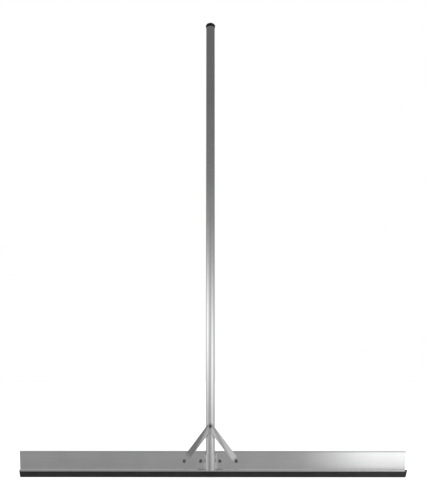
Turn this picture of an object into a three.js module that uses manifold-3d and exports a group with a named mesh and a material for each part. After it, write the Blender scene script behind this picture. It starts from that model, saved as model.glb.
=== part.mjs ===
// Long-handled squeegee float: a 1.2 m aluminium blade with a rubber lip, a tube handle
// clamped to the blade by a saddle, and two straps that brace the handle to the blade.
//
// Millimetres. X runs along the blade, Z up along the handle, and -Y is the front, the side
// that carries the handle. The origin is the middle of the rubber lip's working edge.

import * as THREE from 'three';
import { mergeVertices } from 'three/addons/utils/BufferGeometryUtils.js';
import Module from 'manifold-3d';

const wasm = await Module();
wasm.setup();

// ---------------------------------------------------------------- driving dimensions

const gap = 0.3; // clearance left between neighbouring pieces

const lip = {
  leftEnd: -603.4,
  rightEnd: 603.4,
  leftRake: 3.5, // how far each cut end leans in, from the top of the piece to its bottom
  rightRake: 6,
  edgeThickness: 4,
  bodyThickness: 7,
  ridgeHeight: 10, // the body tapers from here down to the edge
  neckThickness: 3.6,
  headThickness: 6,
};

const blade = {
  leftEnd: -603.9, // the blade is 1200 long at half height
  rightEnd: 601.1,
  leftRake: 4.4,
  rightRake: 5.6,
  bottom: 17.5,
  top: 80.5,
  webThickness: 2.5,
  standOut: 2.2, // how far the channel stands in front of the web
  beadHeight: 5,
  beadFront: 0.6, // how far the top bead stands in front of the web, and behind it
  beadBack: 1.6,
  channelTop: 24.4,
  wall: 2,
  slotRoof: 22.4,
  slotFloor: 19.3,
  cornerRadius: 1.6,
};

const handle = {
  x: -8.4,
  radius: 14,
  wall: 1.5,
  foot: 23,
  length: 1436,
};

const cap = {
  standOut: 1.6, // how far the head stands out past the tube all round
  rimHeight: 3,
  domeHeight: 11.5,
  plugLength: 24,
  plugWall: 2,
};

const saddle = {
  thickness: 3,
  halfWidth: 40,
  bottom: 25.2,
  top: 73,
  bendRadius: 3,
  cornerRadius: 4,
  boltX: 30,
};

const brace = {
  thickness: 3,
  width: 18,
  boltX: 81,
  apexHeight: 109, // from the blade's bolts up to the bolt through the handle
  flankTilt: THREE.MathUtils.degToRad(30), // how far the flank beside the tube turns back
  flankEndX: 25,
  footLengths: [24.5, 9], // flat part, from the blade bolt to the fold, left and right
  overlap: 8, // how far the head laps past the handle's centre line
  crotch: 24, // bottom of the head, below the handle bolt
};

const boltZ = 50;
const bolt = {
  radius: 3,
  headRadius: 5.25,
  headHeight: 3.3,
  socketAcrossFlats: 4,
  socketDepth: 2,
  washerRadius: 6.5,
  washerThickness: 1.6,
  nutAcrossFlats: 10,
  nutHeight: 5,
  collarRadius: 4.5,
  collarHeight: 1.6,
  tipLength: 2,
};

const holeRadius = bolt.radius + gap;
const join = 1; // how far two shapes run into each other where they are to become one
const through = 200; // longer than anything is thick
const round = { bore: 24, screw: 24, washer: 32, cap: 48, tube: 64, wrap: 64 }; // facets

// ---------------------------------------------------------------- derived places

const channelFrontY = -(lip.headThickness / 2 + gap + blade.wall);
const webFrontY = channelFrontY + blade.standOut;
const webBackY = webFrontY + blade.webThickness;
const handleY = channelFrontY - gap - handle.radius;
const apexZ = boltZ + brace.apexHeight;
const plateBackY = webFrontY - gap; // back of whatever is bolted to the front of the web

// ---------------------------------------------------------------- materials

function metal(color, roughness) {
  return new THREE.MeshStandardMaterial({ color, roughness, metalness: 1 });
}

const materials = {
  blade: metal(0xb9bdc0, 0.35),
  tube: metal(0xc4c7c9, 0.28),
  bracket: metal(0xc0c3c5, 0.3),
  fastener: metal(0x8f9294, 0.3),
  rubber: new THREE.MeshStandardMaterial({ color: 0x2b2b2d, roughness: 0.6, metalness: 0 }),
  cap: new THREE.MeshStandardMaterial({ color: 0x141414, roughness: 0.35, metalness: 0 }),
};

// ---------------------------------------------------------------- shape helpers

const xAxis = new THREE.Vector3(1, 0, 0);
const yAxis = new THREE.Vector3(0, 1, 0);
const zAxis = new THREE.Vector3(0, 0, 1);

function toSolid(geometry) {
  const bare = geometry.clone();
  bare.deleteAttribute('normal');
  bare.deleteAttribute('uv');
  const merged = mergeVertices(bare, 1e-4);
  return new wasm.Manifold(new wasm.Mesh({
    numProp: 3,
    vertProperties: new Float32Array(merged.attributes.position.array),
    triVerts: new Uint32Array(merged.index.array),
  }));
}

function toGeometry(solid) {
  const mesh = solid.getMesh();
  const geometry = new THREE.BufferGeometry();
  geometry.setAttribute('position', new THREE.BufferAttribute(mesh.vertProperties, 3));
  geometry.setIndex(new THREE.BufferAttribute(mesh.triVerts, 1));
  geometry.computeVertexNormals();
  return geometry;
}

function shapeOf(points) {
  return new THREE.Shape(points.map(([u, v]) => new THREE.Vector2(u, v)));
}

function extrude(shape, depth, curveSegments = 8) {
  return new THREE.ExtrudeGeometry(shape, { depth, curveSegments, bevelEnabled: false });
}

// A (y, z) outline swept along X from x0 to x1.
function alongX(shape, x0, x1, curveSegments) {
  const geometry = extrude(shape, x1 - x0, curveSegments);
  geometry.applyMatrix4(new THREE.Matrix4().makeBasis(yAxis, zAxis, xAxis));
  return toSolid(geometry.translate(x0, 0, 0));
}

// An (x, z) outline swept from the back plane y0 forwards to y1.
function alongY(shape, y0, y1, curveSegments) {
  const geometry = extrude(shape, y0 - y1, curveSegments);
  geometry.applyMatrix4(new THREE.Matrix4().makeBasis(xAxis, zAxis, yAxis.clone().negate()));
  return toSolid(geometry.translate(0, y0, 0));
}

// An (x, y) outline swept up from z0 to z1.
function alongZ(shape, z0, z1, curveSegments) {
  return toSolid(extrude(shape, z1 - z0, curveSegments).translate(0, 0, z0));
}

// A (radius, height) profile turned about Z.
function turned(profile, segments) {
  const points = profile.map(([r, h]) => new THREE.Vector2(r, h));
  return toSolid(new THREE.LatheGeometry(points, segments).rotateX(Math.PI / 2));
}

// The same profile turned about Y, with its heights running towards the back.
function turnedAboutY(profile, segments) {
  const points = profile.map(([r, h]) => new THREE.Vector2(r, h));
  return toSolid(new THREE.LatheGeometry(points, segments));
}

function boreAlongY(x, z, radius = holeRadius) {
  const cylinder = new THREE.CylinderGeometry(radius, radius, through, round.bore);
  return toSolid(cylinder.translate(x, 0, z));
}

function hexAlongY(acrossFlats, y0, y1) {
  const radius = acrossFlats / Math.sqrt(3);
  const geometry = new THREE.CylinderGeometry(radius, radius, y1 - y0, 6);
  return toSolid(geometry.translate(0, (y0 + y1) / 2, 0));
}

function cylinderAlongZ(radius, z0, z1) {
  const cylinder = new THREE.CylinderGeometry(radius, radius, z1 - z0, round.wrap);
  return toSolid(cylinder.rotateX(Math.PI / 2).translate(0, 0, (z0 + z1) / 2));
}

const model = new THREE.Group();

function place(name, solid, material, x = 0, y = 0, z = 0) {
  const mesh = new THREE.Mesh(toGeometry(solid), material);
  mesh.name = name;
  mesh.position.set(x, y, z);
  model.add(mesh);
}

// ---------------------------------------------------------------- blade and lip

// The blade's section: a channel that grips the lip, a flat web and a round bead on top.
function bladeShape() {
  const slot = lip.headThickness / 2 + gap;
  const mouth = lip.neckThickness / 2 + gap;
  const corner = blade.cornerRadius;
  const front = channelFrontY;
  const back = -channelFrontY;
  const beadBottom = blade.top - blade.beadHeight;
  const beadFront = webFrontY - blade.beadFront;
  const beadBack = webBackY + blade.beadBack;
  const beadRadius = (beadBack - beadFront) / 2;
  const beadMiddle = (beadBack + beadFront) / 2;
  const shape = new THREE.Shape();
  shape.moveTo(-mouth, blade.bottom);
  shape.lineTo(-mouth, blade.slotFloor);
  shape.lineTo(-slot, blade.slotFloor);
  shape.lineTo(-slot, blade.slotRoof);
  shape.lineTo(slot, blade.slotRoof);
  shape.lineTo(slot, blade.slotFloor);
  shape.lineTo(mouth, blade.slotFloor);
  shape.lineTo(mouth, blade.bottom);
  shape.lineTo(back, blade.bottom);
  shape.lineTo(back, blade.channelTop - corner);
  shape.absarc(back - corner, blade.channelTop - corner, corner, 0, Math.PI / 2);
  shape.lineTo(webBackY, blade.channelTop);
  shape.lineTo(webBackY, beadBottom);
  shape.lineTo(beadBack, beadBottom + blade.beadBack);
  shape.lineTo(beadBack, blade.top - beadRadius);
  shape.absarc(beadMiddle, blade.top - beadRadius, beadRadius, 0, Math.PI);
  shape.lineTo(beadFront, beadBottom + blade.beadFront);
  shape.lineTo(webFrontY, beadBottom);
  shape.lineTo(webFrontY, blade.channelTop);
  shape.absarc(front + corner, blade.channelTop - corner, corner, Math.PI / 2, Math.PI);
  shape.lineTo(front, blade.bottom);
  return shape;
}

// What lies between two cut ends that lean in towards the bottom.
function betweenEnds({ leftEnd, rightEnd, leftRake, rightRake }, bottom, top) {
  const outline = shapeOf([
    [leftEnd + leftRake, bottom],
    [rightEnd - rightRake, bottom],
    [rightEnd, top],
    [leftEnd, top],
  ]);
  return alongY(outline, through, -through);
}

function bladeProfile() {
  let solid = alongX(bladeShape(), blade.leftEnd, blade.rightEnd, 5)
    .intersect(betweenEnds(blade, blade.bottom, blade.top));
  for (const offset of [-brace.boltX, -saddle.boltX, saddle.boltX, brace.boltX]) {
    solid = solid.subtract(boreAlongY(handle.x + offset, boltZ));
  }
  return solid;
}

// The lip: a head inside the channel, a neck through its mouth, and a tapering body below.
function rubberLip() {
  const head = lip.headThickness / 2;
  const neck = lip.neckThickness / 2;
  const body = lip.bodyThickness / 2;
  const edge = lip.edgeThickness / 2;
  const bodyTop = blade.bottom - gap;
  const headBottom = blade.slotFloor + gap;
  const headTop = blade.slotRoof - gap;
  const right = [
    [edge, 0],
    [body, lip.ridgeHeight],
    [body, bodyTop],
    [neck, bodyTop],
    [neck, headBottom],
    [head, headBottom],
    [head, headTop],
  ];
  const left = right.map(([y, z]) => [-y, z]).reverse();
  return alongX(shapeOf([...right, ...left]), lip.leftEnd, lip.rightEnd)
    .intersect(betweenEnds(lip, 0, headTop));
}

// ---------------------------------------------------------------- handle and cap

function handleTube() {
  const inner = handle.radius - handle.wall;
  const top = handle.foot + handle.length;
  const tube = turned([
    [inner, handle.foot],
    [handle.radius, handle.foot],
    [handle.radius, top],
    [inner, top],
    [inner, handle.foot],
  ], round.tube);
  return tube.subtract(boreAlongY(0, apexZ));
}

// A cap on the tube's end, which is at height 0: a domed head over a hollow plug.
function endCap() {
  const plug = handle.radius - handle.wall - gap;
  const hollow = plug - cap.plugWall;
  const outer = handle.radius + cap.standOut;
  const shoulder = gap + cap.rimHeight;
  const steps = 10;
  const profile = [
    [0, shoulder],
    [hollow, shoulder],
    [hollow, -cap.plugLength],
    [plug, -cap.plugLength],
    [plug, gap],
    [outer, gap],
  ];
  for (let i = 0; i < steps; i += 1) {
    const angle = (i / steps) * (Math.PI / 2);
    profile.push([outer * Math.cos(angle), shoulder + cap.domeHeight * Math.sin(angle)]);
  }
  profile.push([0, shoulder + cap.domeHeight]);
  return turned(profile, round.cap);
}

// ---------------------------------------------------------------- saddle

// Plan of the saddle: a half-round over the tube, straight cheeks and two flanges.
function saddlePlan() {
  const inner = handle.radius + gap;
  const outer = inner + saddle.thickness;
  const back = plateBackY - handleY;
  const front = back - saddle.thickness;
  const bend = saddle.bendRadius;
  const plan = new THREE.Shape();
  plan.moveTo(saddle.halfWidth, back);
  plan.lineTo(inner + bend, back);
  plan.absarc(inner + bend, back - bend, bend, Math.PI / 2, Math.PI);
  plan.lineTo(inner, 0);
  plan.absarc(0, 0, inner, 0, -Math.PI, true);
  plan.lineTo(-inner, back - bend);
  plan.absarc(-inner - bend, back - bend, bend, 0, Math.PI / 2);
  plan.lineTo(-saddle.halfWidth, back);
  plan.lineTo(-saddle.halfWidth, front);
  plan.lineTo(-outer - bend, front);
  plan.absarc(-outer - bend, front - bend, bend, Math.PI / 2, 0, true);
  plan.lineTo(-outer, 0);
  plan.absarc(0, 0, outer, Math.PI, 2 * Math.PI);
  plan.lineTo(outer, front - bend);
  plan.absarc(outer + bend, front - bend, bend, Math.PI, Math.PI / 2, true);
  plan.lineTo(saddle.halfWidth, front);
  return plan;
}

function roundedRectangle(x0, z0, x1, z1, r) {
  const shape = new THREE.Shape();
  shape.absarc(x1 - r, z0 + r, r, -Math.PI / 2, 0);
  shape.absarc(x1 - r, z1 - r, r, 0, Math.PI / 2);
  shape.absarc(x0 + r, z1 - r, r, Math.PI / 2, Math.PI);
  shape.absarc(x0 + r, z0 + r, r, Math.PI, 1.5 * Math.PI);
  return shape;
}

function saddleBracket() {
  const { halfWidth, bottom, top, cornerRadius } = saddle;
  const outline = roundedRectangle(-halfWidth, bottom, halfWidth, top, cornerRadius);
  const reach = 2 * handle.radius + saddle.thickness;
  return alongZ(saddlePlan(), bottom, top, 16)
    .intersect(alongY(outline, reach, -reach, 6))
    .subtract(boreAlongY(-saddle.boltX, boltZ))
    .subtract(boreAlongY(saddle.boltX, boltZ));
}

// ---------------------------------------------------------------- brace straps

// Everything behind one face of a right-hand strap: the wrap round the tube, the flank
// that leaves it, the arm and the foot. The tube's axis is x = 0, y = 0.
function behindStrapFace(radius, footLength, armSlope, offset) {
  const wall = plateBackY - handleY; // plane of the foot's back face
  const base = wall + join; // a little behind it
  const z0 = boltZ - brace.width;
  const z1 = apexZ + brace.width;
  const sin = Math.sin(brace.flankTilt);
  const cos = Math.cos(brace.flankTilt);
  const flankEnd = (radius + base * cos) / sin;
  const flank = shapeOf([
    [0, 0],
    [radius * sin, -radius * cos],
    [flankEnd, base],
    [0, base],
  ]);
  const run = Math.hypot(brace.boltX, brace.apexHeight);
  const rise = offset / Math.cos(Math.atan(armSlope));
  const armStart = footLength - (rise + join) / armSlope;
  const armEnd = run - brace.width / 2 - join;
  const arm = extrude(shapeOf([
    [armStart, join],
    [armEnd, join],
    [armEnd, -rise - (armEnd - footLength) * armSlope],
  ]), 4 * brace.width);
  // From (along the strap, depth, across) to the model: the foot's bolt is the start.
  const along = new THREE.Vector3(-brace.boltX, 0, brace.apexHeight).normalize();
  const across = new THREE.Vector3().crossVectors(along, yAxis);
  arm.translate(0, 0, -2 * brace.width);
  arm.applyMatrix4(new THREE.Matrix4().makeBasis(along, yAxis, across));
  arm.translate(brace.boltX, wall, boltZ);
  const foot = alongZ(shapeOf([
    [brace.flankEndX, wall - offset],
    [brace.boltX + brace.width, wall - offset],
    [brace.boltX + brace.width, base],
    [brace.flankEndX, base],
  ]), z0, z1);
  return cylinderAlongZ(radius, z0, z1)
    .add(alongZ(flank, z0, z1))
    .add(toSolid(arm))
    .add(foot);
}

// Outline of a right-hand strap seen from the front: a round-ended bar from the blade bolt
// to the handle bolt, with a head that fills the crotch under the handle bolt.
function strapOutline() {
  const r = brace.width / 2;
  const angle = Math.atan2(brace.apexHeight, brace.boltX);
  const bar = new THREE.Shape();
  const turn = Math.PI / 2 - angle;
  bar.absarc(brace.boltX, boltZ, r, -Math.PI + turn, turn);
  bar.absarc(0, apexZ, r, turn, Math.PI + turn);
  const edgeX = (brace.crotch - r / Math.cos(angle)) / Math.tan(angle);
  const head = shapeOf([
    [-brace.overlap, apexZ],
    [-brace.overlap, apexZ - brace.crotch],
    [edgeX, apexZ - brace.crotch],
    [r, apexZ],
  ]);
  const trim = shapeOf([
    [-brace.overlap, boltZ - brace.width],
    [brace.boltX + brace.width, boltZ - brace.width],
    [brace.boltX + brace.width, apexZ + brace.width],
    [-brace.overlap, apexZ + brace.width],
  ]);
  const reach = 3 * handle.radius;
  return alongY(bar, reach, -reach, 12)
    .add(alongY(head, reach, -reach))
    .intersect(alongY(trim, reach, -reach));
}

// The layer is 0 for the left strap, which touches the tube, and 1 for the right one, which
// laps over it.
function braceStrap(layer) {
  const inner = handle.radius + gap + layer * (brace.thickness + gap);
  const outer = inner + brace.thickness;
  const wall = plateBackY - handleY;
  const footLength = brace.footLengths[layer];
  const run = Math.hypot(brace.boltX, brace.apexHeight);
  const foldRun = run * (1 - brace.flankEndX / brace.boltX);
  const sin = Math.sin(brace.flankTilt);
  const cos = Math.cos(brace.flankTilt);
  const foldDepth = wall + (inner - brace.flankEndX * sin) / cos;
  const armSlope = foldDepth / (foldRun - footLength);
  const hollow = shapeOf([
    [-outer - join, 0],
    [outer + join, 0],
    [outer + join, wall + 2 * join],
    [-outer - join, wall + 2 * join],
  ]);
  return behindStrapFace(outer, footLength, armSlope, brace.thickness)
    .subtract(behindStrapFace(inner, footLength, armSlope, 0))
    .subtract(alongZ(hollow, boltZ, apexZ + brace.width))
    .intersect(strapOutline())
    .subtract(behindFoot())
    .subtract(boreAlongY(0, apexZ))
    .subtract(boreAlongY(brace.boltX, boltZ));
}

// The space behind the plane of the strap's foot, where nothing of the strap may reach.
function behindFoot() {
  const wall = plateBackY - handleY;
  return alongZ(shapeOf([
    [-brace.boltX, wall],
    [2 * brace.boltX, wall],
    [2 * brace.boltX, wall + handle.radius],
    [-brace.boltX, wall + handle.radius],
  ]), 0, 2 * apexZ);
}

// ---------------------------------------------------------------- fasteners

// A button-head screw along Y, its head's seat at y = 0 and its tip at y = length.
function buttonScrew(length) {
  const { radius, headRadius, headHeight, tipLength } = bolt;
  const steps = 6;
  const profile = [];
  for (let i = 0; i <= steps; i += 1) {
    const angle = (i / steps) * (Math.PI / 2);
    profile.push([headRadius * Math.sin(angle), -headHeight * Math.cos(angle)]);
  }
  profile[0][0] = 0; // exactly on the axis
  profile.push([radius, 0]);
  profile.push([radius, length - tipLength / 4]);
  profile.push([radius - tipLength / 4, length]);
  profile.push([0, length]);
  const socketFloor = bolt.socketDepth - headHeight;
  const socket = hexAlongY(bolt.socketAcrossFlats, -headHeight - join, socketFloor);
  return turnedAboutY(profile, round.screw).subtract(socket);
}

function washer() {
  const { washerRadius, washerThickness } = bolt;
  return turnedAboutY([
    [holeRadius, 0],
    [washerRadius, 0],
    [washerRadius, washerThickness],
    [holeRadius, washerThickness],
    [holeRadius, 0],
  ], round.washer);
}

// A hexagon nut with the round collar that holds its locking ring.
function lockNut() {
  const height = bolt.nutHeight + bolt.collarHeight;
  const collar = turnedAboutY([
    [0, join],
    [bolt.collarRadius, join],
    [bolt.collarRadius, height - gap],
    [bolt.collarRadius - gap, height],
    [0, height],
  ], round.screw);
  return hexAlongY(bolt.nutAcrossFlats, 0, bolt.nutHeight).add(collar).subtract(boreAlongY(0, 0));
}

// A screw from the front with a washer and a lock nut, clamping from frontY to backY.
function fasten(name, x, z, frontY, backY) {
  const frontWasherY = frontY - gap - bolt.washerThickness;
  const seatY = frontWasherY - gap;
  const rearWasherY = backY + gap;
  const nutY = rearWasherY + bolt.washerThickness + gap;
  const tipY = nutY + bolt.nutHeight + bolt.collarHeight + bolt.tipLength;
  place(`${name}_screw`, buttonScrew(tipY - seatY), materials.fastener, x, seatY, z);
  place(`${name}_front_washer`, washer(), materials.fastener, x, frontWasherY, z);
  place(`${name}_rear_washer`, washer(), materials.fastener, x, rearWasherY, z);
  place(`${name}_lock_nut`, lockNut(), materials.fastener, x, nutY, z);
}

// ---------------------------------------------------------------- assembly

place('blade_profile', bladeProfile(), materials.blade);
place('rubber_lip', rubberLip(), materials.rubber);
place('handle_tube', handleTube(), materials.tube, handle.x, handleY);
place('handle_end_cap', endCap(), materials.cap, handle.x, handleY, handle.foot + handle.length);
place('saddle_bracket', saddleBracket(), materials.bracket, handle.x, handleY);
place('brace_strap_left', braceStrap(0).mirror([1, 0, 0]), materials.bracket, handle.x, handleY);
place('brace_strap_right', braceStrap(1), materials.bracket, handle.x, handleY);

for (const [side, sign] of [['left', -1], ['right', 1]]) {
  const saddleFrontY = plateBackY - saddle.thickness;
  const braceFrontY = plateBackY - brace.thickness;
  fasten(`saddle_${side}`, handle.x + sign * saddle.boltX, boltZ, saddleFrontY, webBackY);
  fasten(`brace_${side}`, handle.x + sign * brace.boltX, boltZ, braceFrontY, webBackY);
}

const wrapRadius = handle.radius + 2 * (gap + brace.thickness);
fasten('handle_bolt', handle.x, apexZ, handleY - wrapRadius, handleY + handle.radius);

export default model;
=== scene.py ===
import math

import bmesh
import bpy
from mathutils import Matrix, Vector


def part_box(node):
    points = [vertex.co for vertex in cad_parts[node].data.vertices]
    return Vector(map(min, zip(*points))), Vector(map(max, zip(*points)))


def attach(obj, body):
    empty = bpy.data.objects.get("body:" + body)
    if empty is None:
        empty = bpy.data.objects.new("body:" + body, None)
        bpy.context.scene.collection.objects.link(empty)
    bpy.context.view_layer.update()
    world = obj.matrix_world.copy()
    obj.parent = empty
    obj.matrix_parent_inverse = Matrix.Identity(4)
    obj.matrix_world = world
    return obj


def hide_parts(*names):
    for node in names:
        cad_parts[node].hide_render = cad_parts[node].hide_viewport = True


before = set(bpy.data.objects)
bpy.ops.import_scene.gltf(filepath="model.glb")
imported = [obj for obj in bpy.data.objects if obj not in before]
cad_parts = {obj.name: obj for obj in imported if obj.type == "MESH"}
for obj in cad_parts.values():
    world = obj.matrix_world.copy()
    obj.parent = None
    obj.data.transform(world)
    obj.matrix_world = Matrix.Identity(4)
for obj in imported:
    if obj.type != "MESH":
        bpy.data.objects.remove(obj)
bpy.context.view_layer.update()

# The frame is in metres with X along the blade, +Z up the handle and the handle on the
# front, -Y. Shapes are worked out here in millimetres and scaled as each piece is made.
MM = 0.001
SHARP = math.radians(32)  # edges that turn more than this stay crisp

# Sizes in millimetres that the boxes of the CAD nodes don't give.
GAP = 0.3  # clearance between neighbouring pieces
TUBE_WALL = 1.5
CAP_PLUG_WALL = 2.0
CAP_RIM = 3.0  # height of the cap's straight edge, under its dome
SHEET = 3.0  # thickness of the saddle and the straps
WEB = 2.5
STAND_OUT = 2.2  # how far the channel stands in front of the web
BEAD_FRONT = 0.6  # how far the top bead stands in front of the web, and behind it
BEAD_BACK = 1.6
BEAD_HEIGHT = 5.0
BLADE_RAKES = (4.4, 5.6)  # how far the left and right ends lean in, from top to bottom
CHANNEL_HEIGHT = 6.9
CHANNEL_WALL = 2.0
CHANNEL_LEDGE = 1.8  # height of the ledges that hold the lip's head
LIP_RAKES = (3.5, 6.0)
LIP_NECK = 3.6
LIP_HEAD = 6.0
LIP_RIDGE = 10.0  # the lip tapers from here down to its edge
LIP_EDGE = 4.0
BEND = 3.0
SADDLE_CORNER = 4.0
BOLT_RADIUS = 3.0
SCREW_HEAD = 3.3
SOCKET = 4.0
SOCKET_DEPTH = 2.0
NUT_FLATS = 10.0
NUT_HEIGHT = 5.0
COLLAR_RADIUS = 4.5
BRACE_WIDTH = 18.0
FLANK_TILT = math.radians(30)  # how far a strap's flank turns back beside the tube
FLANK_END = 25.0
FOOT_LENGTHS = (24.5, 9.0)  # flat part of the left and right strap, from its bolt to the fold
HEAD_LAP = 8.0  # how far a strap's head laps past the handle's centre line
HEAD_CROTCH = 24.0  # bottom of the head, below the handle bolt
BORE_REACH = 20.0  # in front of and behind the blade
STRAP_BORE_FRONT = -60.0  # in front of the straps' heads
HANDLE_BORE_BACK = -10.0  # inside the tube, behind the straps


def box_mm(node):
    low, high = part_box(node)
    return Vector(low) / MM, Vector(high) / MM


def middle(node):
    low, high = box_mm(node)
    return (low + high) / 2


# ---------------------------------------------------------------- node helpers

def link(tree, value, socket):
    """Feeds a socket from another one, or sets it to a plain value."""
    if isinstance(value, bpy.types.NodeSocket):
        tree.links.new(value, socket)
    elif value is not None:
        socket.default_value = value


def math_node(tree, operation, first, second=None, third=None):
    """A Math node's result; each operand is a number or a socket."""
    node = tree.nodes.new("ShaderNodeMath")
    node.operation = operation
    for value, socket in zip((first, second, third), node.inputs):
        link(tree, value, socket)
    return node.outputs[0]


def value_range(tree, value, low, high, to_low=0.0, to_high=1.0, curve="LINEAR"):
    """Turns the range low to high into to_low to to_high, straight or with eased ends."""
    node = tree.nodes.new("ShaderNodeMapRange")
    node.interpolation_type = curve
    link(tree, value, node.inputs["Value"])
    node.inputs["From Min"].default_value = low
    node.inputs["From Max"].default_value = high
    node.inputs["To Min"].default_value = to_low
    node.inputs["To Max"].default_value = to_high
    return node.outputs["Result"]


def eased_range(tree, value, low, high, to_low, to_high):
    return value_range(tree, value, low, high, to_low, to_high, "SMOOTHSTEP")


def noise(tree, scale, detail=3.0, roughness=0.55):
    """Noise whose scale is given per metre along each axis."""
    place = tree.nodes.new("ShaderNodeTexCoord")
    stretch = tree.nodes.new("ShaderNodeMapping")
    stretch.inputs["Scale"].default_value = scale
    tree.links.new(place.outputs["Object"], stretch.inputs["Vector"])
    node = tree.nodes.new("ShaderNodeTexNoise")
    node.inputs["Scale"].default_value = 1.0
    node.inputs["Detail"].default_value = detail
    node.inputs["Roughness"].default_value = roughness
    tree.links.new(stretch.outputs["Vector"], node.inputs["Vector"])
    return node.outputs["Fac"]


def new_material(name):
    material = bpy.data.materials.new(name)
    material.use_nodes = True
    tree = material.node_tree
    return material, tree, tree.nodes["Principled BSDF"]


def grey_ramp(tree, value, dark, light):
    """Mixes two colours by a value."""
    node = tree.nodes.new("ShaderNodeMix")
    node.data_type = "RGBA"
    link(tree, value, node.inputs[0])
    node.inputs[6].default_value = (*dark, 1)
    node.inputs[7].default_value = (*light, 1)
    return node.outputs[2]


def bump(tree, shader, height, distance):
    node = tree.nodes.new("ShaderNodeBump")
    node.inputs["Strength"].default_value = 1.0
    node.inputs["Distance"].default_value = distance
    tree.links.new(height, node.inputs["Height"])
    tree.links.new(node.outputs["Normal"], shader.inputs["Normal"])


# ---------------------------------------------------------------- materials

LINE_DEPTH = 0.000002  # of the lines in drawn metal, in metres
SPANGLE_DEPTH = 0.0000002


def drawn_metal(name, grain, dark, light, smooth, rough):
    """Extruded or rolled metal: fine lines along one axis over broad cloudy patches."""
    material, tree, shader = new_material(name)
    line_scale = [1800.0, 1800.0, 1800.0]
    streak_scale = [320.0, 320.0, 320.0]
    axis = "XYZ".index(grain)
    line_scale[axis] = 9.0
    streak_scale[axis] = 2.5
    lines = noise(tree, line_scale, 4.0, 0.6)
    streaks = noise(tree, streak_scale, 3.0)
    clouds = noise(tree, (14.0, 14.0, 14.0), 4.0)
    tone = math_node(tree, "MULTIPLY_ADD", streaks, 0.55, math_node(tree, "MULTIPLY", clouds, 0.45))
    colour = grey_ramp(tree, value_range(tree, tone, 0.35, 0.65), dark, light)
    tree.links.new(colour, shader.inputs["Base Color"])
    grain_tone = math_node(tree, "MULTIPLY_ADD", lines, 0.6, math_node(tree, "MULTIPLY", clouds, 0.4))
    tree.links.new(value_range(tree, grain_tone, 0.3, 0.7, smooth, rough), shader.inputs["Roughness"])
    shader.inputs["Metallic"].default_value = 1.0
    bump(tree, shader, lines, LINE_DEPTH)
    return material


def speckled_metal(name, dark, light, smooth, rough):
    """Plated or cut metal: small spangles and faint handling marks."""
    material, tree, shader = new_material(name)
    spangle = noise(tree, (1600.0, 1600.0, 1600.0), 3.0)
    marks = noise(tree, (60.0, 60.0, 60.0), 5.0, 0.7)
    tone = math_node(tree, "MULTIPLY_ADD", spangle, 0.5, math_node(tree, "MULTIPLY", marks, 0.5))
    colour = grey_ramp(tree, value_range(tree, tone, 0.35, 0.65), dark, light)
    tree.links.new(colour, shader.inputs["Base Color"])
    tree.links.new(value_range(tree, marks, 0.3, 0.7, smooth, rough), shader.inputs["Roughness"])
    shader.inputs["Metallic"].default_value = 1.0
    bump(tree, shader, spangle, SPANGLE_DEPTH)
    return material


def soft_black(name, dark, light, smooth, rough, grain, depth):
    """Rubber or plastic: a dark body with a fine moulded grain and a little bloom."""
    material, tree, shader = new_material(name)
    fine = noise(tree, (grain, grain, grain), 3.0)
    patches = noise(tree, (25.0, 60.0, 60.0), 4.0)
    tree.links.new(grey_ramp(tree, value_range(tree, patches, 0.3, 0.7), dark, light),
                   shader.inputs["Base Color"])
    tree.links.new(value_range(tree, patches, 0.3, 0.7, smooth, rough), shader.inputs["Roughness"])
    bump(tree, shader, fine, depth)
    return material


blade_metal = drawn_metal("blade_aluminium", "X", (0.86, 0.865, 0.87), (0.93, 0.93, 0.93), 0.14, 0.22)
tube_metal = drawn_metal("tube_aluminium", "Z", (0.88, 0.885, 0.89), (0.95, 0.95, 0.95), 0.1, 0.17)
bracket_metal = speckled_metal("bracket_metal", (0.82, 0.825, 0.83), (0.9, 0.9, 0.9), 0.2, 0.27)
bolt_metal = speckled_metal("fastener_zinc", (0.2, 0.205, 0.21), (0.34, 0.34, 0.34), 0.16, 0.26)
washer_metal = speckled_metal("washer_zinc", (0.8, 0.8, 0.8), (0.92, 0.92, 0.92), 0.16, 0.26)
rubber = soft_black("lip_rubber", (0.044, 0.044, 0.045), (0.072, 0.072, 0.073),
                    0.45, 0.6, 900.0, 0.00003)
plastic = soft_black("cap_plastic", (0.003, 0.003, 0.0032), (0.006, 0.006, 0.0065),
                     0.3, 0.4, 1500.0, 0.00001)
nylon, nylon_tree, nylon_shader = new_material("nut_nylon")
nylon_shader.inputs["Roughness"].default_value = 0.45
nylon_tone = grey_ramp(nylon_tree, noise(nylon_tree, (700.0, 700.0, 700.0)),
                       (0.68, 0.69, 0.66), (0.8, 0.81, 0.79))
nylon_tree.links.new(nylon_tone, nylon_shader.inputs["Base Color"])


# ---------------------------------------------------------------- shape helpers

def fillet(corners, steps=6):
    """Rounds the corners (u, v, radius) of a closed outline."""
    points = []
    for i, (u, v, radius) in enumerate(corners):
        here = Vector((u, v))
        if radius <= 0:
            points.append(here)
            continue
        back = (Vector(corners[i - 1][:2]) - here).normalized()
        ahead = (Vector(corners[(i + 1) % len(corners)][:2]) - here).normalized()
        half = back.angle(ahead) / 2
        centre = here + (back + ahead).normalized() * radius / math.sin(half)
        start = here + back * radius / math.tan(half) - centre
        end = here + ahead * radius / math.tan(half) - centre
        turn = math.atan2(start.x * end.y - start.y * end.x, start.dot(end))
        for k in range(steps + 1):
            angle = math.atan2(start.y, start.x) + turn * k / steps
            points.append(centre + Vector((math.cos(angle), math.sin(angle))) * radius)
    return points


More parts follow.
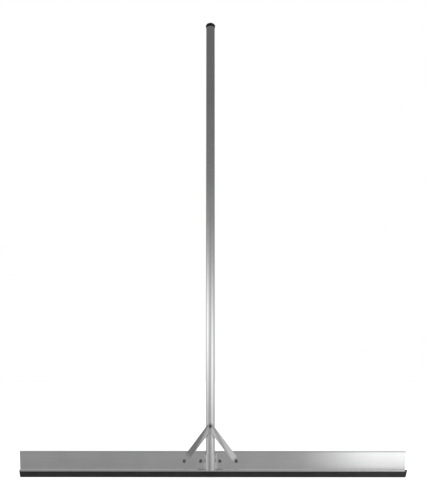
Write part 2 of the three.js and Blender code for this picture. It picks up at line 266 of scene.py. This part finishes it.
def bridge(mesh, first, second, closed=True, slot=0):
    """Quads or triangles between two rings of vertices; a ring may be a single point."""
    count = max(len(first), len(second))
    for i in range(count if closed else count - 1):
        j = (i + 1) % count
        corners = [first[i % len(first)], first[j % len(first)],
                   second[j % len(second)], second[i % len(second)]]
        distinct = []
        for vertex in corners:
            if vertex not in distinct:
                distinct.append(vertex)
        if len(distinct) > 2:
            mesh.faces.new(distinct).material_index = slot


def swept_x(outline, stations):
    """A (y, z) outline carried along X; each station is x, or a function of (y, z)."""
    mesh = bmesh.new()
    rings = []
    for station in stations:
        ring = []
        for y, z in outline:
            x = station(y, z) if callable(station) else station
            ring.append(mesh.verts.new((x, y, z)))
        rings.append(ring)
    for first, second in zip(rings, rings[1:]):
        bridge(mesh, first, second)
    mesh.faces.new(rings[0])
    mesh.faces.new(rings[-1])
    return mesh


def cut_ends(low, high, rakes):
    """Stations for two cut ends that lean in from the top of a box to its bottom."""
    def left(_, z):
        return low.x + rakes[0] * (high.z - z) / (high.z - low.z)

    def right(_, z):
        return high.x - rakes[1] * (high.z - z) / (high.z - low.z)

    return [left, right]


def turned(profile, segments, centre, axis="Z", closed=False, slots=None):
    """A (radius, height) profile turned about Z or Y; a radius may depend on the angle."""
    mesh = bmesh.new()
    rings = []
    for radius, height in profile:
        if not callable(radius) and radius <= 0:
            angles = [0]
        else:
            angles = [2 * math.pi * i / segments for i in range(segments)]
        ring = []
        for angle in angles:
            r = radius(angle) if callable(radius) else radius
            a = r * math.cos(angle)
            b = r * math.sin(angle)
            offset = Vector((a, b, height)) if axis == "Z" else Vector((a, height, b))
            ring.append(mesh.verts.new(centre + offset))
        rings.append(ring)
    pairs = list(zip(rings, rings[1:]))
    if closed:
        pairs.append((rings[-1], rings[0]))
    for i, (first, second) in enumerate(pairs):
        bridge(mesh, first, second, slot=slots[i] if slots else 0)
    return mesh


def sheet_metal(front, thickness_at):
    """A grid of front points and the matching back points, joined into a closed sheet."""
    mesh = bmesh.new()
    faces = []
    for shift in (0, 1):
        faces.append([[mesh.verts.new(point + thickness_at(i, j) * shift)
                       for j, point in enumerate(row)] for i, row in enumerate(front)])
    outer, inner = faces
    for grid in faces:
        for first, second in zip(grid, grid[1:]):
            bridge(mesh, first, second, closed=False)
    rims = []
    for grid in (outer, inner):
        rim = list(grid[0])
        rim += [row[-1] for row in grid[1:]]
        rim += list(reversed(grid[-1][:-1]))
        rim += [row[0] for row in reversed(grid[1:-1])]
        rims.append(rim)
    bridge(mesh, rims[0], rims[1])
    bmesh.ops.remove_doubles(mesh, verts=mesh.verts, dist=1e-4)
    return mesh


def temporary(mesh):
    """An object that only lives while shapes are cut."""
    bmesh.ops.recalc_face_normals(mesh, faces=mesh.faces)
    data = bpy.data.meshes.new("temporary")
    mesh.to_mesh(data)
    mesh.free()
    thing = bpy.data.objects.new("temporary", data)
    bpy.context.scene.collection.objects.link(thing)
    return thing


def cut(mesh, tools):
    """Takes closed shapes away from a closed shape."""
    body = temporary(mesh)
    things = [body]
    for tool in tools:
        thing = temporary(tool)
        things.append(thing)
        step = body.modifiers.new("cut", "BOOLEAN")
        step.operation = "DIFFERENCE"
        step.solver = "EXACT"
        step.object = thing
    result = bmesh.new()
    result.from_object(body, bpy.context.evaluated_depsgraph_get())
    for thing in things:
        data = thing.data
        bpy.data.objects.remove(thing)
        bpy.data.meshes.remove(data)
    return result


def bore(x, z, y0=-BORE_REACH, y1=BORE_REACH):
    """What a bolt hole along Y takes away."""
    radius = BOLT_RADIUS + GAP
    profile = [(0, y0), (radius, y0), (radius, y1), (0, y1)]
    return turned(profile, 32, Vector((x, 0, z)), "Y")


def add_piece(node, mesh, materials, edge=0.0):
    """Makes the detailed piece that stands for a CAD node."""
    bmesh.ops.recalc_face_normals(mesh, faces=mesh.faces)
    for vertex in mesh.verts:
        vertex.co *= MM
    data = bpy.data.meshes.new(f"fine_{node}")
    mesh.to_mesh(data)
    mesh.free()
    for material in materials:
        data.materials.append(material)
    for polygon in data.polygons:
        polygon.use_smooth = True
    data.set_sharp_from_angle(angle=SHARP)
    piece = bpy.data.objects.new(f"fine_{node}", data)
    bpy.context.scene.collection.objects.link(piece)
    if edge:
        rounding = piece.modifiers.new("edges", "BEVEL")
        rounding.width = edge * MM
        rounding.segments = 2
        rounding.limit_method = "ANGLE"
        rounding.angle_limit = math.radians(50)
        rounding.use_clamp_overlap = True
    normals = piece.modifiers.new("normals", "WEIGHTED_NORMAL")
    normals.keep_sharp = True
    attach(piece, "root")
    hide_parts(node)
    return piece


# ---------------------------------------------------------------- blade

# The numbers after each corner's y and z are its rounding.
blade_low, blade_high = box_mm("blade_profile")
front = blade_low.y
back = blade_high.y
bottom = blade_low.z
top = blade_high.z
web_front = front + STAND_OUT
web_back = web_front + WEB
channel_top = bottom + CHANNEL_HEIGHT
slot_half = back - CHANNEL_WALL
mouth = LIP_NECK / 2 + GAP
slot_floor = bottom + CHANNEL_LEDGE
slot_roof = channel_top - CHANNEL_WALL
bead_front = web_front - BEAD_FRONT
bead_back = web_back + BEAD_BACK
bead_bottom = top - BEAD_HEIGHT
bead_radius = (bead_back - bead_front) / 2 - 0.01  # a hair under half, so that two arcs fit
blade_section = fillet([
    (-mouth, bottom, 0.4), (-mouth, slot_floor, 0.4), (-slot_half, slot_floor, 0.4),
    (-slot_half, slot_roof, 0.4), (slot_half, slot_roof, 0.4), (slot_half, slot_floor, 0.4),
    (mouth, slot_floor, 0.4), (mouth, bottom, 0.4), (back, bottom, 0.7),
    (back, channel_top, 1.6), (web_back, channel_top, 0.8), (web_back, bead_bottom, 0.8),
    (bead_back, bead_bottom + BEAD_BACK, 0.8), (bead_back, top, bead_radius),
    (bead_front, top, bead_radius), (bead_front, bead_bottom + BEAD_FRONT, 0.5),
    (web_front, bead_bottom, 0.5),
    (web_front, channel_top, 0.8), (front, channel_top, 1.6), (front, bottom, 0.7),
])
screw_names = ["brace_left", "saddle_left", "saddle_right", "brace_right"]
bolt_places = [middle(f"{name}_front_washer") for name in screw_names]
blade_ends = cut_ends(blade_low, blade_high, BLADE_RAKES)
blade_mesh = cut(swept_x(blade_section, blade_ends),
                 [bore(place.x, place.z) for place in bolt_places])
add_piece("blade_profile", blade_mesh, [blade_metal])

# ---------------------------------------------------------------- rubber lip

lip_low, lip_high = box_mm("rubber_lip")
body_half = lip_high.y
body_top = bottom - GAP
head_bottom = slot_floor + GAP
right_half = [
    (LIP_EDGE / 2, 0, 0.5), (body_half - 0.5, LIP_RIDGE - 2.2, 0.6), (body_half, LIP_RIDGE, 0.9),
    (body_half, LIP_RIDGE + 2.4, 0.9), (body_half - 0.7, LIP_RIDGE + 3.2, 0.5),
    (body_half - 0.7, body_top, 0.4), (LIP_NECK / 2, body_top, 0.3),
    (LIP_NECK / 2, head_bottom, 0.3), (LIP_HEAD / 2, head_bottom, 0.5), (LIP_HEAD / 2, lip_high.z, 0.8),
]
left_half = [(-y, z, r) for y, z, r in reversed(right_half)]
lip_section = fillet(right_half + left_half, 4)
lip_ends = cut_ends(lip_low, lip_high, LIP_RAKES)
add_piece("rubber_lip", swept_x(lip_section, lip_ends), [rubber])

# ---------------------------------------------------------------- handle and cap

tube_low, tube_high = box_mm("handle_tube")
tube_centre = (tube_low + tube_high) / 2
tube_axis = Vector((tube_centre.x, tube_centre.y, 0))
tube_radius = (tube_high.x - tube_low.x) / 2
bore_radius = tube_radius - TUBE_WALL
EASE = 0.35  # rounding of the tube's ends
tube_profile = [
    (bore_radius, tube_low.z + EASE), (bore_radius + EASE, tube_low.z),
    (tube_radius - EASE, tube_low.z), (tube_radius - EASE * 0.3, tube_low.z + EASE * 0.3),
    (tube_radius, tube_low.z + EASE), (tube_radius, tube_high.z - EASE),
    (tube_radius - EASE, tube_high.z), (bore_radius + EASE, tube_high.z),
    (bore_radius, tube_high.z - EASE),
]
apex = middle("handle_bolt_front_washer")
tube_mesh = cut(turned(tube_profile, 128, tube_axis, closed=True),
                [bore(apex.x, apex.z, tube_low.y - 5, tube_high.y + 5)])
add_piece("handle_tube", tube_mesh, [tube_metal])

cap_low, cap_high = box_mm("handle_end_cap")
cap_radius = (cap_high.x - cap_low.x) / 2
plug = bore_radius - GAP
hollow = plug - CAP_PLUG_WALL
cap_seat = tube_high.z + GAP
cap_shoulder = cap_seat + CAP_RIM
CAP_EASE = 0.5
cap_profile = [(0, cap_shoulder), (hollow, cap_shoulder), (hollow, cap_low.z + CAP_EASE),
               (hollow + CAP_EASE, cap_low.z), (plug - CAP_EASE, cap_low.z),
               (plug, cap_low.z + CAP_EASE), (plug, cap_seat)]
for i in range(5):
    turn = i / 4 * math.pi / 2
    cap_profile.append((cap_radius - CAP_EASE + CAP_EASE * math.sin(turn),
                        cap_seat + CAP_EASE - CAP_EASE * math.cos(turn)))
CAP_STEPS = 18
for i in range(CAP_STEPS):
    turn = i / CAP_STEPS * math.pi / 2
    cap_profile.append((cap_radius * math.cos(turn),
                        cap_shoulder + (cap_high.z - cap_shoulder) * math.sin(turn)))
cap_profile.append((0, cap_high.z))
add_piece("handle_end_cap", turned(cap_profile, 96, tube_axis), [plastic])

# ---------------------------------------------------------------- saddle

saddle_low, saddle_high = box_mm("saddle_bracket")
saddle_inner = tube_radius + GAP
saddle_outer = saddle_inner + SHEET
flange_back = saddle_high.y
half_width = (saddle_high.x - saddle_low.x) / 2
path = []  # (x from the tube's axis, y, inward normal) along the front face, left to right


def add_arc(cx, cy, radius, start, end, steps, inward):
    """Adds an arc to the path; inward is 1 where the sheet lies outside the arc, or -1."""
    for k in range(steps + 1):
        angle = math.radians(start + (end - start) * k / steps)
        direction = Vector((math.cos(angle), math.sin(angle)))
        path.append((cx + radius * direction.x, cy + radius * direction.y, direction * inward))


flange_front = flange_back - SHEET
bend_x = saddle_outer + BEND
bend_y = flange_front - BEND - tube_axis.y
straight = Vector((0, 1))
FLANGE_STEPS = 8
CROWDING = 1.6  # brings the steps closer together at the rounded corners
for k in range(FLANGE_STEPS + 1):
    x = -half_width + (half_width - bend_x) * (k / FLANGE_STEPS) ** CROWDING
    path.append((x, flange_front - tube_axis.y, straight))
add_arc(-bend_x, bend_y, BEND, 90, 0, 8, 1)
add_arc(0, 0, saddle_outer, 180, 360, 48, -1)
add_arc(bend_x, bend_y, BEND, 180, 90, 8, 1)
for k in range(FLANGE_STEPS + 1):
    x = half_width - (half_width - bend_x) * ((FLANGE_STEPS - k) / FLANGE_STEPS) ** CROWDING
    path.append((x, flange_front - tube_axis.y, straight))


def saddle_inset(x):
    """How far the rounded corner of a flange cuts into its height at x."""
    into = abs(x) - (half_width - SADDLE_CORNER)
    if into <= 0:
        return 0
    return SADDLE_CORNER - math.sqrt(max(SADDLE_CORNER ** 2 - into ** 2, 0))


saddle_front = []
saddle_normals = []
for x, y, inward in path:
    inset = saddle_inset(x)
    heights = (saddle_low.z + inset, saddle_high.z - inset)
    saddle_front.append([Vector((tube_axis.x + x, tube_axis.y + y, z)) for z in heights])
    saddle_normals.append(Vector((inward.x, inward.y, 0)) * SHEET)
saddle_mesh = cut(sheet_metal(saddle_front, lambda i, j: saddle_normals[i]),
                  [bore(place.x, place.z) for place in bolt_places[1:3]])
add_piece("saddle_bracket", saddle_mesh, [bracket_metal], edge=0.4)

# ---------------------------------------------------------------- brace straps

foot_bolt = bolt_places[3]
brace_x = foot_bolt.x - tube_axis.x
brace_z = foot_bolt.z
rise = apex.z - brace_z
slope_angle = math.atan2(rise, brace_x)
foot_back = web_front - GAP - tube_axis.y  # depth of the feet's back, behind the tube's axis
half = BRACE_WIDTH / 2
FOLD = 2.5  # softness of the fold between wrap and arm
FOOT_FOLD = 1.0  # and between arm and foot
STRAP_COLUMNS = 110  # along a strap, up to its lower bolt
END_COLUMNS = 14  # round its lower end
STRAP_ROWS = 16  # across it
SLOPE_STEP = 0.05  # over which a strap's slope is measured


def round_max(a, b, softness):
    """The larger of two values, with a rounded change from one to the other."""
    return (a + b + math.sqrt((a - b) ** 2 + softness ** 2)) / 2


def strap_depth(x, z, layer):
    """How far a strap's front face stands before the tube's axis."""
    inner = tube_radius + GAP + layer * (SHEET + GAP)
    radius = inner + SHEET
    run = math.hypot(brace_x, rise)
    fold_depth = foot_back + (inner - FLANK_END * math.sin(FLANK_TILT)) / math.cos(FLANK_TILT)
    foot_length = FOOT_LENGTHS[layer]
    steep = fold_depth / (run * (1 - FLANK_END / brace_x) - foot_length)
    if x <= radius * math.sin(FLANK_TILT):
        wrap = math.sqrt(max(radius ** 2 - x ** 2, 0))
    else:
        wrap = (radius - x * math.sin(FLANK_TILT)) / math.cos(FLANK_TILT)
    along = ((brace_x - x) * brace_x + (z - brace_z) * rise) / run
    arm = SHEET * math.hypot(1, steep) - foot_back + (along - foot_length) * steep
    foot = SHEET - foot_back
    if x <= 0:
        return wrap
    return round_max(round_max(wrap, arm, min(FOLD, x)), foot, FOOT_FOLD)


def strap_edges(x):
    """Bottom and top of a right-hand strap at a distance x from the tube's axis."""
    centre = brace_z + (brace_x - x) * math.tan(slope_angle)
    offset = half / math.cos(slope_angle)
    tangent = half * math.sin(slope_angle)
    if x > brace_x + tangent:
        high = brace_z + math.sqrt(max(half ** 2 - (x - brace_x) ** 2, 0))
    elif x > tangent:
        high = centre + offset
    else:
        high = apex.z + math.sqrt(max(half ** 2 - x ** 2, 0))
    if x > brace_x - tangent:
        low = brace_z - math.sqrt(max(half ** 2 - (x - brace_x) ** 2, 0))
    else:
        low = min(centre - offset, apex.z - HEAD_CROTCH)
    return low, high


def strap(sign, layer):
    """A strap on the right (sign 1) or left (-1); layer 0 touches the tube, 1 laps over it."""
    length = brace_x + HEAD_LAP
    stations = [-HEAD_LAP + i * length / STRAP_COLUMNS for i in range(STRAP_COLUMNS)]
    for i in range(END_COLUMNS + 1):
        stations.append(brace_x + half * math.sin(i / END_COLUMNS * math.pi / 2))
    rows = []
    normals = []
    for x in stations:
        low, high = strap_edges(x)
        row = []
        for k in range(STRAP_ROWS + 1):
            z = low + (high - low) * k / STRAP_ROWS
            depth = strap_depth(x, z, layer)
            row.append(Vector((tube_axis.x + sign * x, tube_axis.y - depth, z)))
            across = strap_depth(x + SLOPE_STEP, z, layer) - strap_depth(x - SLOPE_STEP, z, layer)
            upward = strap_depth(x, z + SLOPE_STEP, layer) - strap_depth(x, z - SLOPE_STEP, layer)
            slope_x = across / (2 * SLOPE_STEP)
            slope_z = upward / (2 * SLOPE_STEP)
            normals.append(Vector((sign * slope_x, 1, slope_z)).normalized())
        rows.append(row)

    def offset(i, j):
        return normals[i * (STRAP_ROWS + 1) + j] * SHEET

    return cut(sheet_metal(rows, offset), [
        bore(tube_axis.x + sign * brace_x, brace_z, STRAP_BORE_FRONT),
        bore(apex.x, apex.z, STRAP_BORE_FRONT, HANDLE_BORE_BACK),
    ])


add_piece("brace_strap_left", strap(-1, 0), [bracket_metal], edge=0.3)
add_piece("brace_strap_right", strap(1, 1), [bracket_metal], edge=0.3)

# ---------------------------------------------------------------- fasteners

def hexagon(flats, limit):
    """Radius of a hexagon at an angle, no larger than a round limit."""
    def radius(angle):
        turn = (angle + math.pi / 6) % (math.pi / 3) - math.pi / 6
        return min(flats / 2 / math.cos(turn), limit)
    return radius


DOME_STEPS = 12
DOME_FULLNESS = 0.9  # under 1, the dome is fuller than a quarter of an ellipse
HEAD_EDGE = 0.4  # straight edge of a screw head, under its dome
HEAD_EASE = 0.15
THREAD_TURNS = 5  # plain rings that stand for the thread at a screw's tip
THREAD_DEPTH = 0.45
PITCH = 1.0
WASHER_EASE = 0.25
NUT_CHAMFER = 0.6
NUT_MOUTH = 0.4  # bevel round the nut's hole


def add_screw(node):
    low, high = box_mm(node)
    centre = (low + high) / 2
    axis = Vector((centre.x, 0, centre.z))
    head_radius = (high.x - low.x) / 2
    seat = low.y + SCREW_HEAD
    profile = [(0, low.y)]
    for i in range(1, DOME_STEPS + 1):
        turn = i / DOME_STEPS * math.pi / 2
        height = HEAD_EDGE + (SCREW_HEAD - HEAD_EDGE) * math.cos(turn)
        profile.append((head_radius * math.sin(turn) ** DOME_FULLNESS, seat - height))
    profile += [(head_radius, seat - HEAD_EASE), (head_radius - HEAD_EASE, seat), (BOLT_RADIUS, seat)]
    thread_start = high.y - THREAD_TURNS * PITCH - PITCH
    profile.append((BOLT_RADIUS, thread_start))
    for i in range(THREAD_TURNS):
        profile.append((BOLT_RADIUS - THREAD_DEPTH, thread_start + (i + 0.5) * PITCH))
        profile.append((BOLT_RADIUS, thread_start + (i + 1) * PITCH))
    profile += [(BOLT_RADIUS - 0.5, high.y), (0, high.y)]
    drive = hexagon(SOCKET, SOCKET)
    drive_end = low.y + SOCKET_DEPTH
    socket = turned([(0, low.y - 1), (drive, low.y - 1), (drive, drive_end), (0, drive_end + 0.5)],
                    6, axis, "Y")
    add_piece(node, cut(turned(profile, 48, axis, "Y"), [socket]), [bolt_metal])


def add_washer(node):
    low, high = box_mm(node)
    centre = (low + high) / 2
    axis = Vector((centre.x, 0, centre.z))
    outer = (high.x - low.x) / 2
    inner = BOLT_RADIUS + GAP
    ease = WASHER_EASE
    crown = high.y - low.y - ease  # radius of the rounded front edge
    profile = [(inner, low.y + ease), (inner + ease, low.y)]
    for i in range(7):
        turn = i / 6 * math.pi / 2
        profile.append((outer - crown + crown * math.sin(turn), low.y + crown - crown * math.cos(turn)))
    profile += [(outer - ease, high.y), (inner + ease, high.y), (inner, high.y - ease)]
    add_piece(node, turned(profile, 64, axis, "Y", closed=True), [washer_metal])


def add_nut(node):
    low, high = box_mm(node)
    centre = (low + high) / 2
    axis = Vector((centre.x, 0, centre.z))
    hexed = hexagon(NUT_FLATS, NUT_FLATS)
    faced = hexagon(NUT_FLATS, NUT_FLATS / 2 - 0.1)
    inner = BOLT_RADIUS + GAP
    shoulder = low.y + NUT_HEIGHT
    profile = [(inner, low.y + NUT_MOUTH), (inner + NUT_MOUTH, low.y), (faced, low.y),
               (hexed, low.y + NUT_CHAMFER), (hexed, shoulder - NUT_CHAMFER), (faced, shoulder),
               (COLLAR_RADIUS, shoulder),
               (COLLAR_RADIUS, high.y - 0.5), (COLLAR_RADIUS - 0.4, high.y - 0.05),
               (COLLAR_RADIUS - 0.7, high.y), (COLLAR_RADIUS - 0.7, high.y - 0.4), (inner, high.y - 0.4)]
    slots = [0] * len(profile)
    slots[-2] = 1  # the nylon ring inside the collar
    mesh = turned(profile, 72, axis, "Y", closed=True, slots=slots)
    add_piece(node, mesh, [bolt_metal, nylon])


for name in screw_names + ["handle_bolt"]:
    add_screw(f"{name}_screw")
    add_washer(f"{name}_front_washer")
    add_washer(f"{name}_rear_washer")
    add_nut(f"{name}_lock_nut")

# ---------------------------------------------------------------- floor and light

FLOOR_RADIUS = 9.0  # metres
FLOOR_DROP = 0.0005  # keeps the floor just under the lip's edge
floor_mesh = bmesh.new()
bmesh.ops.create_circle(floor_mesh, cap_ends=True, radius=FLOOR_RADIUS, segments=96)
floor_data = bpy.data.meshes.new("floor")
floor_mesh.to_mesh(floor_data)
floor_mesh.free()
floor = bpy.data.objects.new("floor", floor_data)
bpy.context.scene.collection.objects.link(floor)
floor.location.z = -FLOOR_DROP
floor.visible_glossy = False
floor.visible_diffuse = False
floor_material = bpy.data.materials.new("pale_floor")
floor_material.use_nodes = True
floor_tree = floor_material.node_tree
floor_shader = floor_tree.nodes["Principled BSDF"]
floor_shader.inputs["Base Color"].default_value = (0.9, 0.9, 0.9, 1)
floor_shader.inputs["Roughness"].default_value = 0.8
floor_shader.inputs["Emission Color"].default_value = (1, 1, 1, 1)
floor_shader.inputs["Emission Strength"].default_value = 0.9
floor_data.materials.append(floor_material)

world = bpy.data.worlds.new("studio")
bpy.context.scene.world = world
world.use_nodes = True
sky = world.node_tree
sky.nodes.clear()
direction = sky.nodes.new("ShaderNodeTexCoord")
split = sky.nodes.new("ShaderNodeSeparateXYZ")
sky.links.new(direction.outputs["Generated"], split.inputs[0])
TO_DEGREES = 180 / math.pi
frontward = math_node(sky, "MULTIPLY", split.outputs["Y"], -1.0)
azimuth = math_node(sky, "MULTIPLY", math_node(
    sky, "ARCTAN2", split.outputs["X"], frontward), TO_DEGREES)
elevation = math_node(sky, "MULTIPLY", math_node(sky, "ARCSINE", split.outputs["Z"]), TO_DEGREES)


def lobe(centre_az, centre_el, width_az, width_el, strength):
    """A soft bright patch of the studio, in degrees; azimuth 0 is in front of the tool."""
    a = math_node(sky, "DIVIDE", math_node(sky, "SUBTRACT", azimuth, centre_az), width_az)
    e = math_node(sky, "DIVIDE", math_node(sky, "SUBTRACT", elevation, centre_el), width_el)
    total = math_node(sky, "MULTIPLY_ADD", a, a, math_node(sky, "MULTIPLY", e, e))
    power = math_node(sky, "MULTIPLY", total, -0.5)
    return math_node(sky, "MULTIPLY", math_node(sky, "EXPONENT", power), strength)


def band(centre_el, width_el, strength):
    """A soft bright band all round at one elevation."""
    e = math_node(sky, "DIVIDE", math_node(sky, "SUBTRACT", elevation, centre_el), width_el)
    power = math_node(sky, "MULTIPLY", math_node(sky, "MULTIPLY", e, e), -0.5)
    return math_node(sky, "MULTIPLY", math_node(sky, "EXPONENT", power), strength)


AMBIENT = 0.135
lights = [
    band(1.5, 4.5, 0.28),  # a glow all round, at the height of the horizon
    lobe(-72, 2.0, 26, 3.2, 0.75),  # soft boxes on the left and right of the handle
    lobe(52, -0.5, 24, 3.6, 0.72),
    eased_range(sky, elevation, 21, 10, 0.0, 0.06),
    eased_range(sky, elevation, 30, 70, 0.0, 0.45),  # ceiling
    lobe(23, -31, 14, 13, 0.48),  # light that the right strap reflects
    lobe(95, 58, 12, 8, 3.0),  # high lamp on the right
    lobe(-88, -9, 30, 3.5, 0.34),  # low light from both sides, on the handle's foot
    lobe(75, -9, 28, 3.5, 0.12),
    lobe(180, -35, 45, 20, 0.35),  # floor behind the tool, in two halves
    lobe(-180, -35, 45, 20, 0.35),
]
total = AMBIENT
for light in lights:
    total = math_node(sky, "ADD", light, total)
background = sky.nodes.new("ShaderNodeBackground")
sky.links.new(total, background.inputs["Strength"])
backdrop = sky.nodes.new("ShaderNodeBackground")  # plain white behind the tool
path_node = sky.nodes.new("ShaderNodeLightPath")
mix = sky.nodes.new("ShaderNodeMixShader")
backdrop.inputs["Color"].default_value = (1, 1, 1, 1)
background.inputs["Color"].default_value = (1, 1, 1, 1)
out = sky.nodes.new("ShaderNodeOutputWorld")
sky.links.new(path_node.outputs["Is Camera Ray"], mix.inputs[0])
sky.links.new(background.outputs[0], mix.inputs[1])
sky.links.new(backdrop.outputs[0], mix.inputs[2])
sky.links.new(mix.outputs[0], out.inputs["Surface"])

# A low glowing card in front of the blade's right half, seen only in reflections. It fades in
# from its left and is a little dimmer near the floor. Metres.
CARD_LEFT = 0.25
CARD_FULL = 0.58
CARD_RIGHT = 0.75
CARD_HEIGHT = 0.085
CARD_Y = -0.2
CARD_STRENGTH = 0.72
CARD_LOW_STRENGTH = 0.75  # share of it that is left at the floor
CARD_LOW_HEIGHT = 0.06
card_mesh = bmesh.new()
card_corners = [(CARD_LEFT, 0.0), (CARD_RIGHT, 0.0), (CARD_RIGHT, CARD_HEIGHT), (CARD_LEFT, CARD_HEIGHT)]
card_mesh.faces.new([card_mesh.verts.new((x, CARD_Y, z)) for x, z in card_corners])
card_data = bpy.data.meshes.new("low_card")
card_mesh.to_mesh(card_data)
card_mesh.free()
card = bpy.data.objects.new("low_card", card_data)
bpy.context.scene.collection.objects.link(card)
card.visible_camera = False
card.visible_shadow = False
card_material = bpy.data.materials.new("low_card")
card_material.use_nodes = True
card_tree = card_material.node_tree
card_tree.nodes.clear()
card_place = card_tree.nodes.new("ShaderNodeTexCoord")
card_split = card_tree.nodes.new("ShaderNodeSeparateXYZ")
card_tree.links.new(card_place.outputs["Object"], card_split.inputs[0])
card_glow = card_tree.nodes.new("ShaderNodeEmission")
card_across = eased_range(card_tree, card_split.outputs["X"], CARD_LEFT, CARD_FULL,
                          0.0, CARD_STRENGTH)
card_up = eased_range(card_tree, card_split.outputs["Z"], 0.0, CARD_LOW_HEIGHT,
                      CARD_LOW_STRENGTH, 1.0)
card_strength = math_node(card_tree, "MULTIPLY", card_across, card_up)
card_tree.links.new(card_strength, card_glow.inputs["Strength"])
card_clear = card_tree.nodes.new("ShaderNodeBsdfTransparent")
card_sum = card_tree.nodes.new("ShaderNodeAddShader")
card_tree.links.new(card_glow.outputs[0], card_sum.inputs[0])
card_tree.links.new(card_clear.outputs[0], card_sum.inputs[1])
card_out = card_tree.nodes.new("ShaderNodeOutputMaterial")
card_tree.links.new(card_sum.outputs[0], card_out.inputs["Surface"])
card_data.materials.append(card_material)

# ---------------------------------------------------------------- camera

CAMERA_LENS = 56.44  # millimetres, on a sensor 36 mm high
CAMERA_PLACE = (0.01026, -2.5101, 0.3730)
CAMERA_RISE = 7.709  # degrees that the camera looks up
CAMERA_TURN = 0.237  # and to the left
camera_data = bpy.data.cameras.new("camera")
camera_data.sensor_fit = "VERTICAL"
camera_data.sensor_height = 36.0
camera_data.lens = CAMERA_LENS
camera = bpy.data.objects.new("camera", camera_data)
bpy.context.scene.collection.objects.link(camera)
camera.location = CAMERA_PLACE
camera.rotation_euler = (math.radians(90 + CAMERA_RISE), 0, math.radians(CAMERA_TURN))
bpy.context.scene.camera = camera
bpy.context.scene.view_settings.view_transform = "Standard"
